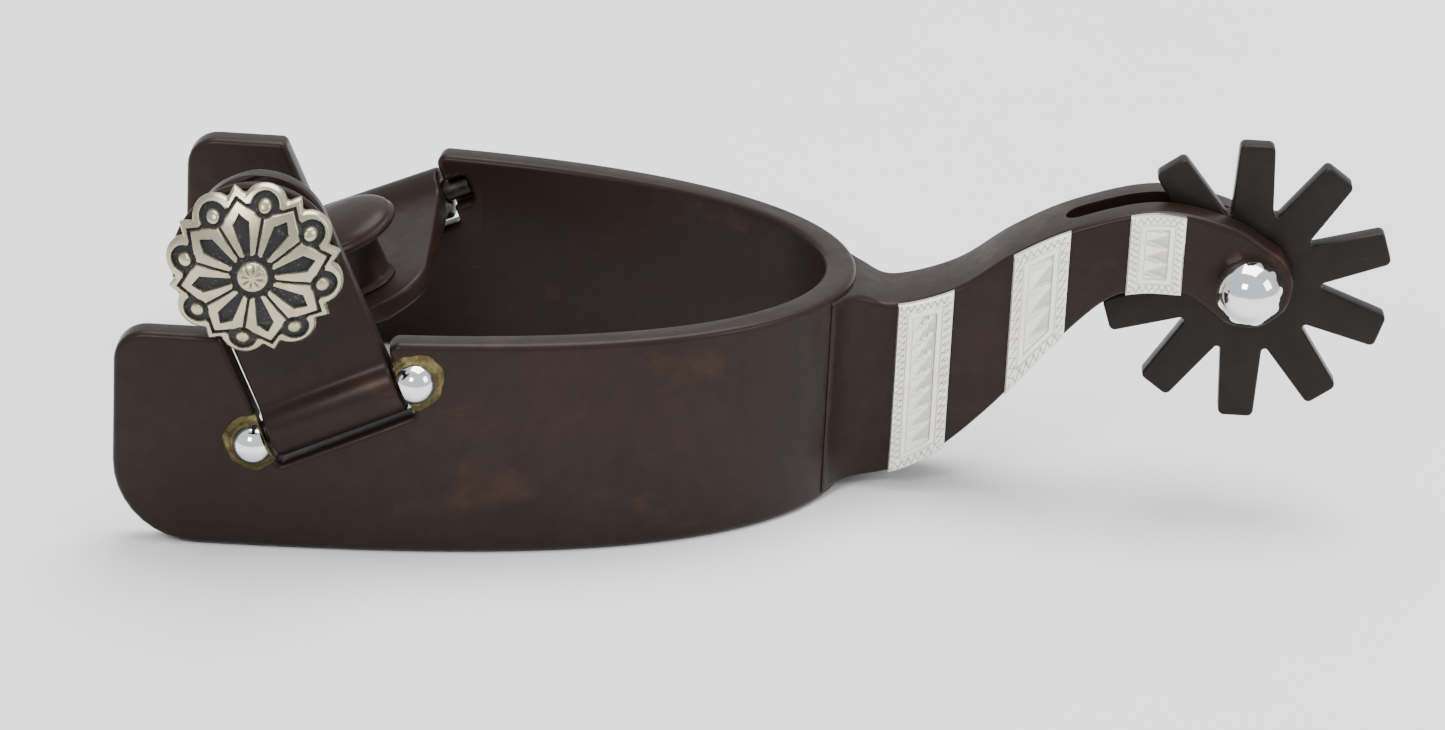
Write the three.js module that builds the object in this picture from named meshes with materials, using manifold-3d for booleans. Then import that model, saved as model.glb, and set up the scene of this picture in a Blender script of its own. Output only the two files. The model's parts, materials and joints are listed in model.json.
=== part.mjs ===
// A western riding spur: a flat heel band with a forged shank, a ten-point rowel, and a
// swinging hanger with a strap button on each arm.  Millimetres, +Z up.
// +X runs from the open front of the heel band to the rowel, -Y is the decorated outer side.
// The origin is under the middle of the heel wall, on the face that the spur stands on.

import * as THREE from 'three';
import { mergeVertices } from 'three/addons/utils/BufferGeometryUtils.js';
import Module from 'manifold-3d';

const wasm = await Module();
wasm.setup();

// ---- driving dimensions ---------------------------------------------------------------

const GAP = 0.3;                 // between neighbouring pieces

const BAND_WIDTH = 31.75;
const BAND_THICKNESS = 4.6;
const BAND_DEPTH = 101.2;        // heel wall to the ends of the arms, at mid-thickness
const BAND_HALF_SPREAD = 40.54;  // symmetry plane to an arm, at mid-thickness
const BAND_ROUNDNESS = 3.06;     // exponent of the heel curve
const ARM_TOP_RADIUS = 4.5;
const ARM_BOTTOM_RADIUS = 12;

const HINGE_X = -70.1;
const HINGE_Z = 21.2;
const HINGE_TILT = THREE.MathUtils.degToRad(24);
const HINGE_YAW = THREE.MathUtils.degToRad(3.4);
const HINGE_Y = 39.75;
const NOTCH_HALF = 10.45;
const NOTCH_BELOW_PIN = 4.75;
const POCKET_HALF = 2.1;
const POCKET_END = 13.9;
const HINGE_PIN_RADIUS = 1.6;
const BALL_RADIUS = 3.05;
const BALL_ALONG_PIN = 12.3;
const BALL_OUT = 2.9;            // ball centre, out from the hinge axis

const STRAP_HALF_WIDTH = 9.8;
const STRAP_THICKNESS = 3.8;
const ROLL_RADIUS = 4.1;
const BUTTON_REACH = 26.5;       // hinge axis to the button post
const POST_RADIUS = 4.3;
const DISC_BACK = 9.9;           // back of the button disc, out from the hinge axis
const NEAR_DISC_RADIUS = 11.7;
const FAR_DISC_RADIUS = 8.6;
const CONCHO_RADIUS = 12.3;
const CONCHO_BACK = 12.3;
const NEAR_SWING = THREE.MathUtils.degToRad(3);    // inward lean of each hanger at rest
const FAR_SWING = THREE.MathUtils.degToRad(97);

const SHANK_THICKNESS = 13.5;
const SHANK_ROOT_SPREAD = 11.5;
const SLOT_WIDTH = 4.5;
const SLOT_START = 32.3;
const PIN_X = 59.3;
const PIN_Z = 34.7;
const PIN_RADIUS = 2.5;
const PIN_HEAD_RADIUS = 5;
const PIN_HEAD_CENTRE = 8.6;     // out from the symmetry plane
const SHANK_END_RADIUS = 6.5;

const ROWEL_RADIUS = 21.1;
const ROWEL_TEETH = 10;
const ROWEL_ROOT_RADIUS = 10;
const ROWEL_TIP_WIDTH = 5.1;
const ROWEL_THICKNESS = 3.3;
const ROWEL_SAG = 1.1;           // the loose rowel hangs this far below its pin
const ROWEL_BORE_RADIUS = PIN_RADIUS + ROWEL_SAG + GAP;

const BAR_WIDTH = 8;
const BAR_THICKNESS = 0.8;
const BAR_STARTS = { root: 8.7, middle: 25.0, tip: 41.5 };

// ---- materials ------------------------------------------------------------------------

function metal(name, color, roughness) {
  return new THREE.MeshStandardMaterial({ name, color, roughness, metalness: 1 });
}

const brownSteel = () => metal('brown_steel', 0x4a3a31, 0.4);
const rowelSteel = () => metal('rowel_steel', 0x3a322e, 0.45);
const pinSteel = () => metal('pin_steel', 0x55504c, 0.4);
const germanSilver = () => metal('german_silver', 0xd8d2c4, 0.25);
const conchoSilver = () => metal('concho_silver', 0xb9b294, 0.35);
const chrome = () => metal('chrome', 0xd9dadb, 0.08);
const brass = () => metal('brass_braze', 0x8a7330, 0.5);

// ---- solids and booleans ----------------------------------------------------------------

function toManifold(geometry) {
  const bare = geometry.clone();
  bare.deleteAttribute('normal');
  bare.deleteAttribute('uv');
  const merged = mergeVertices(bare, 1e-4);
  const index = merged.index.array;
  const kept = [];
  for (let i = 0; i < index.length; i += 3) {
    const [a, b, c] = [index[i], index[i + 1], index[i + 2]];
    if (a !== b && b !== c && c !== a) kept.push(a, b, c);
  }
  return new wasm.Manifold(new wasm.Mesh({
    numProp: 3,
    vertProperties: new Float32Array(merged.attributes.position.array),
    triVerts: new Uint32Array(kept),
  }));
}

function toGeometry(manifold) {
  const mesh = manifold.getMesh();
  const geometry = new THREE.BufferGeometry();
  geometry.setAttribute('position', new THREE.BufferAttribute(new Float32Array(mesh.vertProperties), 3));
  geometry.setIndex(new THREE.BufferAttribute(new Uint32Array(mesh.triVerts), 1));
  geometry.computeVertexNormals();
  return geometry;
}

function combine(first, operations) {
  let result = toManifold(first);
  for (const [operation, geometry] of operations) {
    result = result[operation](toManifold(geometry));
  }
  return toGeometry(result);
}

// a plan outline (x, y) raised from z0 to z1
function plate(shape, z0, z1, curveSegments = 10) {
  const geometry = new THREE.ExtrudeGeometry(shape, { depth: z1 - z0, bevelEnabled: false, curveSegments });
  return geometry.translate(0, 0, z0);
}

// a side outline (x, z) carried across from y0 to y1
function sidePlate(shape, y0, y1, curveSegments = 10) {
  return plate(shape, 0, y1 - y0, curveSegments).rotateX(Math.PI / 2).translate(0, y1, 0);
}

function box(x0, x1, y0, y1, z0, z1) {
  const geometry = new THREE.BoxGeometry(x1 - x0, y1 - y0, z1 - z0);
  return geometry.translate((x0 + x1) / 2, (y0 + y1) / 2, (z0 + z1) / 2);
}

// a solid turned about the y axis, from [radius, y] points
function turned(points, segments = 28) {
  return new THREE.LatheGeometry(points.map(([r, y]) => new THREE.Vector2(r, y)), segments);
}

// a rod from y0 to y1 about the y axis
function rod(radius, y0, y1, segments = 24) {
  const geometry = new THREE.CylinderGeometry(radius, radius, y1 - y0, segments);
  return geometry.translate(0, (y0 + y1) / 2, 0);
}

// a closed outline with rounded corners, from [x, y, corner radius] points
function roundedOutline(corners) {
  const shape = new THREE.Shape();
  const CIRCLE = 0.5523;
  corners.forEach(([x, y, radius = 0], i) => {
    const corner = new THREE.Vector2(x, y);
    const before = new THREE.Vector2(...corners.at(i - 1).slice(0, 2));
    const after = new THREE.Vector2(...corners[(i + 1) % corners.length].slice(0, 2));
    const start = corner.clone().add(before.sub(corner).setLength(radius));
    const end = corner.clone().add(after.sub(corner).setLength(radius));
    if (i === 0) shape.moveTo(start.x, start.y);
    else shape.lineTo(start.x, start.y);
    if (radius > 0) {
      const a = start.clone().lerp(corner, CIRCLE);
      const b = end.clone().lerp(corner, CIRCLE);
      shape.bezierCurveTo(a.x, a.y, b.x, b.y, end.x, end.y);
    }
  });
  return shape;
}

// ---- heel band --------------------------------------------------------------------------

// mid-thickness line of the band, from the near arm's end round the heel to the far arm's end
function bandLine(offset, steps = 60) {
  const points = [];
  for (let i = 0; i <= steps; i += 1) {
    const angle = Math.PI * (i / steps) - Math.PI / 2;
    const x = BAND_DEPTH * (Math.cos(angle) ** (2 / BAND_ROUNDNESS) - 1);
    points.push(new THREE.Vector2(i % steps === 0 ? -BAND_DEPTH : x, BAND_HALF_SPREAD * Math.sin(angle)));
  }
  return points.map((point, i) => {
    const before = points[Math.max(i - 1, 0)];
    const after = points[Math.min(i + 1, steps)];
    const along = after.clone().sub(before).normalize();
    if (i === 0 || i === steps) along.set(i === 0 ? 1 : -1, 0);
    return new THREE.Vector2(point.x + along.y * offset, point.y - along.x * offset);
  });
}

function bandPlan(clearance = 0) {
  const half = BAND_THICKNESS / 2 + clearance;
  return new THREE.Shape([...bandLine(half), ...bandLine(-half).reverse()]);
}

// a point of the notch, from the hinge axis: along the pin, then square to it
function notchPoint(along, up, radius = 0) {
  const x = HINGE_X + along * Math.cos(HINGE_TILT) - up * Math.sin(HINGE_TILT);
  const z = HINGE_Z + along * Math.sin(HINGE_TILT) + up * Math.cos(HINGE_TILT);
  return [x, z, radius];
}

function notchMouth(along, radius) {
  const up = (BAND_WIDTH - HINGE_Z - along * Math.sin(HINGE_TILT)) / Math.cos(HINGE_TILT);
  return notchPoint(along, up, radius);
}

function bandSide() {
  const rear = BAND_THICKNESS;
  return roundedOutline([
    [rear, 0], [rear, BAND_WIDTH],
    notchMouth(NOTCH_HALF, 1.5),
    notchPoint(NOTCH_HALF, POCKET_HALF), notchPoint(POCKET_END, POCKET_HALF, 0.8),
    notchPoint(POCKET_END, -POCKET_HALF, 0.8), notchPoint(NOTCH_HALF, -POCKET_HALF),
    notchPoint(NOTCH_HALF, -NOTCH_BELOW_PIN, 0.8), notchPoint(-NOTCH_HALF, -NOTCH_BELOW_PIN, 0.8),
    notchPoint(-NOTCH_HALF, -POCKET_HALF), notchPoint(-POCKET_END, -POCKET_HALF, 0.8),
    notchPoint(-POCKET_END, POCKET_HALF, 0.8), notchPoint(-NOTCH_HALF, POCKET_HALF),
    notchMouth(-NOTCH_HALF, 1),
    [-BAND_DEPTH, BAND_WIDTH, ARM_TOP_RADIUS],
    [-BAND_DEPTH, 0, ARM_BOTTOM_RADIUS],
  ]);
}

function heelBand() {
  const across = BAND_HALF_SPREAD + BAND_THICKNESS;
  return combine(plate(bandPlan(), -1, BAND_WIDTH + 1), [
    ['intersect', sidePlate(bandSide(), -across, across, 6)],
  ]);
}

function bandKeepOut() {
  return plate(bandPlan(GAP), -1, BAND_WIDTH + 20);
}

// ---- shank, silver bars, rowel and its pin -------------------------------------------------

function shankSide() {
  const top = [[0, 30.2], [8, 28.9], [17, 31.9], [25, 37.7], [34, 42.4], [45.5, 45.5], [56, 43.8]];
  const bottom = [[50, 33], [43.5, 32.9], [38.5, 31], [31.2, 23.4], [23, 13.4], [15, 5.7], [8, 2.2], [0, 1.2]];
  const vectors = (list) => list.map(([x, z]) => new THREE.Vector2(x, z));
  const shape = new THREE.Shape();
  shape.moveTo(...top[0]);
  shape.splineThru(vectors(top.slice(1)));
  shape.lineTo(PIN_X + SHANK_END_RADIUS * Math.cos(0.9), PIN_Z + SHANK_END_RADIUS * Math.sin(0.9));
  shape.absarc(PIN_X, PIN_Z, SHANK_END_RADIUS, 0.9, -2.3, true);
  shape.splineThru(vectors(bottom));
  return shape;
}

function shankPlan() {
  const half = SHANK_THICKNESS / 2;
  const end = PIN_X + SHANK_END_RADIUS + 1;
  const shape = new THREE.Shape();
  shape.moveTo(0, -SHANK_ROOT_SPREAD);
  shape.lineTo(BAND_THICKNESS / 2, -SHANK_ROOT_SPREAD);
  shape.quadraticCurveTo(BAND_THICKNESS / 2 + 1.5, -half, 8.5, -half);
  shape.lineTo(end, -half);
  shape.lineTo(end, half);
  shape.lineTo(8.5, half);
  shape.quadraticCurveTo(BAND_THICKNESS / 2 + 1.5, half, BAND_THICKNESS / 2, SHANK_ROOT_SPREAD);
  shape.lineTo(0, SHANK_ROOT_SPREAD);
  return shape;
}

function shank() {
  const reach = SHANK_ROOT_SPREAD + 1;
  const pinHole = rod(PIN_RADIUS + GAP, -reach, reach).translate(PIN_X, 0, PIN_Z);
  return combine(sidePlate(shankSide(), -reach, reach, 5), [
    ['intersect', plate(shankPlan(), -5, 60, 6)],
    ['subtract', box(SLOT_START, 80, -SLOT_WIDTH / 2, SLOT_WIDTH / 2, -5, 60)],
    ['subtract', pinHole],
    ['subtract', bandKeepOut()],
  ]);
}

function silverBar(start) {
  const back = -(SHANK_THICKNESS / 2 + GAP);
  return combine(sidePlate(shankSide(), back - BAR_THICKNESS, back, 5), [
    ['intersect', box(start, start + BAR_WIDTH, -20, 0, -5, 60)],
  ]);
}

function rowelOutline() {
  const shape = new THREE.Shape();
  const step = (2 * Math.PI) / ROWEL_TEETH;
  const half = ROWEL_TIP_WIDTH / 2;
  for (let tooth = 0; tooth < ROWEL_TEETH; tooth += 1) {
    const angle = Math.PI / 2 + tooth * step;
    const corner = (out, aside) => [
      out * Math.cos(angle) - aside * Math.sin(angle),
      out * Math.sin(angle) + aside * Math.cos(angle),
    ];
    const root = [ROWEL_ROOT_RADIUS * Math.cos(angle - step / 2), ROWEL_ROOT_RADIUS * Math.sin(angle - step / 2)];
    if (tooth === 0) shape.moveTo(...root);
    else shape.lineTo(...root);
    shape.lineTo(...corner(ROWEL_RADIUS - 0.9, -half));
    shape.quadraticCurveTo(...corner(ROWEL_RADIUS, -half), ...corner(ROWEL_RADIUS, -half + 1));
    shape.lineTo(...corner(ROWEL_RADIUS, half - 1));
    shape.quadraticCurveTo(...corner(ROWEL_RADIUS, half), ...corner(ROWEL_RADIUS - 0.9, half));
  }
  const bore = new THREE.Path();
  bore.absarc(0, 0, ROWEL_BORE_RADIUS, 0, 2 * Math.PI, true);
  shape.holes.push(bore);
  return shape;
}

// a ball of the given radius centred at y = centre, cut flat at y = cut; solid beyond the cut
function ballProfile(radius, centre, cut, steps = 10) {
  const first = Math.asin((cut - centre) / radius);
  const points = [];
  for (let i = 0; i <= steps; i += 1) {
    const angle = first + (i / steps) * (Math.PI / 2 - first);
    points.push([i === steps ? 0 : radius * Math.cos(angle), centre + radius * Math.sin(angle)]);
  }
  return points;
}

function pinHeadProfile() {
  return ballProfile(PIN_HEAD_RADIUS, PIN_HEAD_CENTRE, SHANK_THICKNESS / 2 + GAP);
}

function rowelPin() {
  const farEnd = -SHANK_THICKNESS / 2;
  const seat = SHANK_THICKNESS / 2 + GAP;
  return turned([[0, farEnd], [PIN_RADIUS, farEnd], [PIN_RADIUS, seat], ...pinHeadProfile()]);
}

function rowelPinCap() {
  return turned([[0, SHANK_THICKNESS / 2 + GAP], ...pinHeadProfile()]);
}

// ---- hangers ------------------------------------------------------------------------------

// Frame of a hinge: x along the pin, y up the arm, z out from the arm.
function hingeFrame(side) {
  const along = new THREE.Vector3(
    Math.cos(HINGE_TILT) * Math.cos(HINGE_YAW),
    -side * Math.cos(HINGE_TILT) * Math.sin(HINGE_YAW),
    Math.sin(HINGE_TILT),
  );
  const out = new THREE.Vector3(Math.sin(HINGE_YAW), side * Math.cos(HINGE_YAW), 0);
  if (side > 0) along.negate();
  const up = new THREE.Vector3().crossVectors(out, along);
  const matrix = new THREE.Matrix4().makeBasis(along, up, out);
  return matrix.setPosition(HINGE_X, side * HINGE_Y, HINGE_Z);
}

function hingePin() {
  return rod(HINGE_PIN_RADIUS, GAP - POCKET_END, POCKET_END - GAP, 20).rotateZ(Math.PI / 2);
}

// the notch, as a slab that trims what sits beside it
function notchTrim() {
  const half = NOTCH_HALF + GAP / 2;
  return box(-half, half, -20, 20, -20, 20);
}

function hingeBall(side, end) {
  const ball = new THREE.SphereGeometry(BALL_RADIUS, 20, 12);
  ball.translate(end * BALL_ALONG_PIN, 0, BALL_OUT);
  return trimmedAtHinge(ball, side);
}

function brazeRing(side, end) {
  const inner = BALL_RADIUS + GAP;
  const base = BAND_THICKNESS / 2 - 0.6;
  const ring = turned([[inner, base], [inner + 1, base], [inner + 1, base + 1.1], [inner, base + 2], [inner, base]], 24);
  ring.rotateX(Math.PI / 2).translate(end * BALL_ALONG_PIN, 0, 0);
  return trimmedAtHinge(ring, side);
}

function trimmedAtHinge(geometry, side) {
  const frame = hingeFrame(side);
  const placed = geometry.applyMatrix4(frame);
  return combine(placed, [
    ['subtract', bandKeepOut()],
    ['subtract', notchTrim().applyMatrix4(frame)],
  ]);
}

// strap seen from the side, (y, z): a roll round the pin and two layers folded flat
function strapSide() {
  const half = STRAP_THICKNESS / 2;
  const meet = Math.asin((half + 0.9) / ROLL_RADIUS);
  const shape = new THREE.Shape();
  shape.absarc(0, 0, ROLL_RADIUS, meet, 2 * Math.PI - meet, false);
  shape.quadraticCurveTo(ROLL_RADIUS * Math.cos(meet) + 1, -half, ROLL_RADIUS + 2, -half);
  shape.lineTo(BUTTON_REACH + STRAP_HALF_WIDTH + 1, -half);
  shape.lineTo(BUTTON_REACH + STRAP_HALF_WIDTH + 1, half);
  shape.lineTo(ROLL_RADIUS + 2, half);
  shape.quadraticCurveTo(ROLL_RADIUS * Math.cos(meet) + 1, half, ROLL_RADIUS * Math.cos(meet), half + 0.9);
  return shape;
}

function strapPlan() {
  const shape = new THREE.Shape();
  shape.moveTo(-STRAP_HALF_WIDTH, -ROLL_RADIUS - 1);
  shape.lineTo(STRAP_HALF_WIDTH, -ROLL_RADIUS - 1);
  shape.lineTo(STRAP_HALF_WIDTH, BUTTON_REACH);
  shape.absarc(0, BUTTON_REACH, STRAP_HALF_WIDTH, 0, Math.PI, false);
  return shape;
}

function hangerStrap() {
  const folded = plate(strapSide(), -STRAP_HALF_WIDTH, STRAP_HALF_WIDTH, 16);
  folded.applyMatrix4(new THREE.Matrix4().makeBasis(
    new THREE.Vector3(0, 1, 0), new THREE.Vector3(0, 0, 1), new THREE.Vector3(1, 0, 0),
  ));
  return combine(folded, [
    ['intersect', plate(strapPlan(), -10, 10, 12)],
    ['subtract', rod(HINGE_PIN_RADIUS + GAP, -20, 20, 20).rotateZ(Math.PI / 2)],
  ]);
}

function buttonPost() {
  return rod(POST_RADIUS, STRAP_THICKNESS / 2 + GAP, DISC_BACK - GAP).rotateX(Math.PI / 2)
    .translate(0, BUTTON_REACH, 0);
}

// a solid turned about the button's own axis, from [radius, height] points
function buttonTurned(points, segments) {
  return turned(points, segments).rotateX(Math.PI / 2).translate(0, BUTTON_REACH, 0);
}

function nearButtonDisc() {
  const front = CONCHO_BACK - GAP;
  return buttonTurned([
    [0, DISC_BACK], [NEAR_DISC_RADIUS - 1, DISC_BACK], [NEAR_DISC_RADIUS, DISC_BACK + 0.8],
    [NEAR_DISC_RADIUS, front], [0, front],
  ], 36);
}

function domeArc(radius, base, rise, steps) {
  const points = [];
  for (let i = 0; i <= steps; i += 1) {
    const angle = (i / steps) * Math.PI / 2;
    points.push([i === steps ? 0 : radius * Math.cos(angle), base + rise * Math.sin(angle)]);
  }
  return points;
}

function farButtonDisc() {
  return buttonTurned([
    [0, DISC_BACK], [FAR_DISC_RADIUS - 0.8, DISC_BACK], [FAR_DISC_RADIUS, DISC_BACK + 0.8],
    ...domeArc(FAR_DISC_RADIUS, DISC_BACK + 1.2, 2.2, 6),
  ], 32);
}

function conchoOutline() {
  const LOBES = 8;
  const points = [];
  for (let i = 0; i < 96; i += 1) {
    const angle = (i / 96) * 2 * Math.PI;
    const radius = CONCHO_RADIUS - 0.55 + 0.55 * Math.cos(2 * LOBES * angle);
    points.push(new THREE.Vector2(radius * Math.cos(angle), BUTTON_REACH + radius * Math.sin(angle)));
  }
  return new THREE.Shape(points);
}

function concho() {
  const rim = 1.1;
  const dome = buttonTurned([
    [0, CONCHO_BACK], [CONCHO_RADIUS - 1.6, CONCHO_BACK],
    ...domeArc(CONCHO_RADIUS - 1.6, CONCHO_BACK + rim - 0.2, 3.4, 6),
  ], 32);
  return combine(plate(conchoOutline(), CONCHO_BACK, CONCHO_BACK + rim), [['add', dome]]);
}

// ---- assembly -----------------------------------------------------------------------------

const spur = new THREE.Group();

function addTo(group, name, geometry, material) {
  const mesh = new THREE.Mesh(geometry, material);
  mesh.name = name;
  group.add(mesh);
  return mesh;
}

function addHanger(label, side, swing) {
  const hinge = new THREE.Group();
  hinge.applyMatrix4(hingeFrame(side));
  spur.add(hinge);
  addTo(hinge, `${label}_hinge_pin`, toGeometry(toManifold(hingePin())), pinSteel());

  const hanger = new THREE.Group();
  hanger.rotation.x = -swing;
  hinge.add(hanger);
  addTo(hanger, `${label}_hanger_strap`, hangerStrap(), brownSteel());
  addTo(hanger, `${label}_button_post`, toGeometry(toManifold(buttonPost())), brownSteel());

  // the pin runs to the rear on the near side and to the front on the far side
  for (const [place, end] of [['front', side], ['rear', -side]]) {
    addTo(spur, `${label}_${place}_ball`, hingeBall(side, end), chrome());
    addTo(spur, `${label}_${place}_braze`, brazeRing(side, end), brass());
  }
  return hanger;
}

addTo(spur, 'heel_band', heelBand(), brownSteel());
addTo(spur, 'shank', shank(), brownSteel());
for (const [place, start] of Object.entries(BAR_STARTS)) {
  addTo(spur, `silver_bar_${place}`, silverBar(start), germanSilver());
}

const rowel = sidePlate(rowelOutline(), -ROWEL_THICKNESS / 2, ROWEL_THICKNESS / 2, 8);
addTo(spur, 'rowel', toGeometry(toManifold(rowel)), rowelSteel()).position.set(PIN_X, 0, PIN_Z - ROWEL_SAG);

const pin = addTo(spur, 'rowel_pin', toGeometry(toManifold(rowelPin())), chrome());
pin.position.set(PIN_X, 0, PIN_Z);
pin.rotation.x = Math.PI;
const cap = addTo(spur, 'rowel_pin_cap', toGeometry(toManifold(rowelPinCap())), chrome());
cap.position.set(PIN_X, 0, PIN_Z);

const nearHanger = addHanger('near', -1, NEAR_SWING);
addTo(nearHanger, 'near_button_disc', toGeometry(toManifold(nearButtonDisc())), brownSteel());
addTo(nearHanger, 'near_concho', concho(), conchoSilver());

const farHanger = addHanger('far', 1, FAR_SWING);
addTo(farHanger, 'far_button_disc', toGeometry(toManifold(farButtonDisc())), brownSteel());

export default spur;
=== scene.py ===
"""Looks of a western riding spur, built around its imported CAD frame.  Metres, +Z up."""
import json
import math

import bmesh
import bpy
import numpy as np
from mathutils import Matrix, Vector


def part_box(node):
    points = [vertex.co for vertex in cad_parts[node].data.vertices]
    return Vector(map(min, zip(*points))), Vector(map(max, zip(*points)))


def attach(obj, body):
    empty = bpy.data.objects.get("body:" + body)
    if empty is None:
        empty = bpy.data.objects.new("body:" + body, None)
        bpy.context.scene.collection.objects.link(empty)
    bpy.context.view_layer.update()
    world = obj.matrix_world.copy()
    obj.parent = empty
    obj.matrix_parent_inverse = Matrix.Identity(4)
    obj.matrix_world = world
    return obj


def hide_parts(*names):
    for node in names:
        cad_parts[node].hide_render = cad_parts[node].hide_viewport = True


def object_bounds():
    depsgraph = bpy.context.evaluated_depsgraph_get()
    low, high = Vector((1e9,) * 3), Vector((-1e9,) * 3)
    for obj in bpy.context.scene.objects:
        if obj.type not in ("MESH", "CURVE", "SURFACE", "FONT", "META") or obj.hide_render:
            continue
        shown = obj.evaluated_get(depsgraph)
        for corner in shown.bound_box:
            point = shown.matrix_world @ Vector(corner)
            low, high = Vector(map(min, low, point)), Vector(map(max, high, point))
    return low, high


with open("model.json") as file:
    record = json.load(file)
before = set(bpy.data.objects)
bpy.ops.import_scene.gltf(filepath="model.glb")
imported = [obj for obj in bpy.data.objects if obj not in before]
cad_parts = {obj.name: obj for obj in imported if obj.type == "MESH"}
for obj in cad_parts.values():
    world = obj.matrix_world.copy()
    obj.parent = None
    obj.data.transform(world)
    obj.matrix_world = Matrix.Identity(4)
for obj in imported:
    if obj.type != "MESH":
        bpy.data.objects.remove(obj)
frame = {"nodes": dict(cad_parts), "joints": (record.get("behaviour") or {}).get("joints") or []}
cad_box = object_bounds()

MM = 0.001
JOINTS = {joint["name"]: joint for joint in frame["joints"]}

# ---- sizes, in millimetres ---------------------------------------------------------------

BAND_LOW, BAND_HIGH = (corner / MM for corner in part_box("heel_band"))
BAND_WIDTH = BAND_HIGH.z - BAND_LOW.z
BAND_THICKNESS = 2 * BAND_HIGH.x
BAND_DEPTH = -BAND_LOW.x
BAND_HALF_SPREAD = BAND_HIGH.y - BAND_THICKNESS / 2
BAND_ROUNDNESS = 3.06
BAND_EDGE = 1.0
ARM_TOP_RADIUS = 4.5
ARM_BOTTOM_RADIUS = 12

NOTCH_HALF = 10.45
NOTCH_BELOW_PIN = 4.75
POCKET_HALF = 2.1
POCKET_END = 13.9
HINGE_PIN_RADIUS = 1.6
ROLL_BORE_RADIUS = 1.75
BALL_RADIUS = 3.05
BALL_ALONG_PIN = 12.3
BALL_OUT = 2.75

STRAP_HALF_WIDTH = 9.8
STRAP_THICKNESS = 3.8
ROLL_RADIUS = 4.1
BUTTON_REACH = 26.5
POST_RADIUS = 4.3
DISC_BACK = 9.9
NEAR_DISC_RADIUS = 11.7
FAR_DISC_RADIUS = 8.6
NEAR_DISC_RISE, NEAR_DISC_RIM = 0.3, 1.7
FAR_DISC_RISE, FAR_DISC_RIM = 2.3, 1.5
CONCHO_BACK = 12.0
CONCHO_RISE = 4.0

SHANK_HALF = 6.75
SHANK_EDGE = 0.9
SHANK_FLARE_LENGTH, SHANK_FLARE, SHANK_FLARE_POWER = 8.5, 0.78, 3.2
SLOT_HALF = 2.25
SLOT_START = 32.3
PIN = Vector(JOINTS["rowel_spin"]["pos_m"]) / MM
ROWEL_SAG = 1.1
PIN_HEAD_RADIUS = 5
PIN_HEAD_CENTRE = 8.4
SHANK_END_RADIUS = 6.5
ROWEL_RADIUS = 21.1
ROWEL_TEETH = 10
ROWEL_ROOT_RADIUS = 10
ROWEL_TIP_WIDTH = 5.1
ROWEL_THICKNESS = 3.3
ROWEL_BORE_RADIUS = 4.0


# ---- node materials ----------------------------------------------------------------------

class Shader:
    """A Principled material with short calls for adding and linking nodes."""

    def __init__(self, name, **constants):
        self.material = bpy.data.materials.new(name)
        self.material.use_nodes = True
        self.tree = self.material.node_tree
        self.surface = self.tree.nodes["Principled BSDF"]
        for socket, value in constants.items():
            self.surface.inputs[socket.replace("_", " ")].default_value = value
        coordinates = self.tree.nodes.new("ShaderNodeTexCoord")
        self.place = coordinates.outputs["Object"]

    def node(self, kind, settings=None, **inputs):
        node = self.tree.nodes.new("ShaderNode" + kind)
        for key, value in (settings or {}).items():
            setattr(node, key, value)
        for key, value in inputs.items():
            self.set(node.inputs[int(key[1:]) if key[1:].isdigit() else key.replace("_", " ")], value)
        return node

    def set(self, socket, value):
        if isinstance(value, bpy.types.NodeSocket):
            self.tree.links.new(value, socket)
        else:
            socket.default_value = value

    def noise(self, scale, detail=4.0, roughness=0.55, stretch=(1, 1, 1), turn=(0, 0, 0), distortion=0.0):
        mapping = self.node("Mapping", Vector=self.place, Scale=stretch, Rotation=turn)
        noise = self.node("TexNoise", Vector=mapping.outputs[0], Scale=scale, Detail=detail,
                          Roughness=roughness, Distortion=distortion)
        return noise.outputs[0]

    def ramp(self, value, low, high, out_low=0.0, out_high=1.0):
        ramp = self.node("MapRange", {"clamp": True}, Value=value)
        for key, number in zip(("From Min", "From Max", "To Min", "To Max"), (low, high, out_low, out_high)):
            ramp.inputs[key].default_value = number
        return ramp.outputs[0]

    def math(self, operation, first, second):
        return self.node("Math", {"operation": operation}, _0=first, _1=second).outputs[0]

    def mix(self, factor, first, second):
        node = self.node("Mix", {"data_type": "RGBA"})
        self.set(node.inputs[0], factor)
        self.set(node.inputs[6], first)
        self.set(node.inputs[7], second)
        return node.outputs[2]

    def attribute(self, name):
        return self.node("Attribute", {"attribute_name": name}).outputs["Fac"]

    def edges(self, radius):
        """1 on sharp edges, 0 on flat or gently curved stretches."""
        bevel = self.node("Bevel", {"samples": 6}, Radius=radius)
        geometry = self.node("NewGeometry")
        dot = self.node("VectorMath", {"operation": "DOT_PRODUCT"})
        self.set(dot.inputs[0], bevel.outputs[0])
        self.set(dot.inputs[1], geometry.outputs["Normal"])
        return self.ramp(dot.outputs["Value"], 0.985, 0.86)

    def scratches(self, scale, threshold):
        """Fine hairlines in three directions."""
        total = None
        for turn in ((0.3, 0.5, 0.2), (1.2, 0.1, 0.9), (0.2, 1.9, 2.4)):
            lines = self.noise(scale, 2.0, 0.5, stretch=(1, 26, 26), turn=turn)
            line = self.ramp(lines, threshold, threshold + 0.03)
            total = line if total is None else self.math("MAXIMUM", total, line)
        broken = self.ramp(self.noise(scale * 2.2, 3.0), 0.5, 0.62)
        return self.math("MULTIPLY", total, broken)

    def bump(self, height, strength, distance):
        bump = self.node("Bump", Height=height, Strength=strength, Distance=distance)
        self.set(self.surface.inputs["Normal"], bump.outputs[0])


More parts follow.
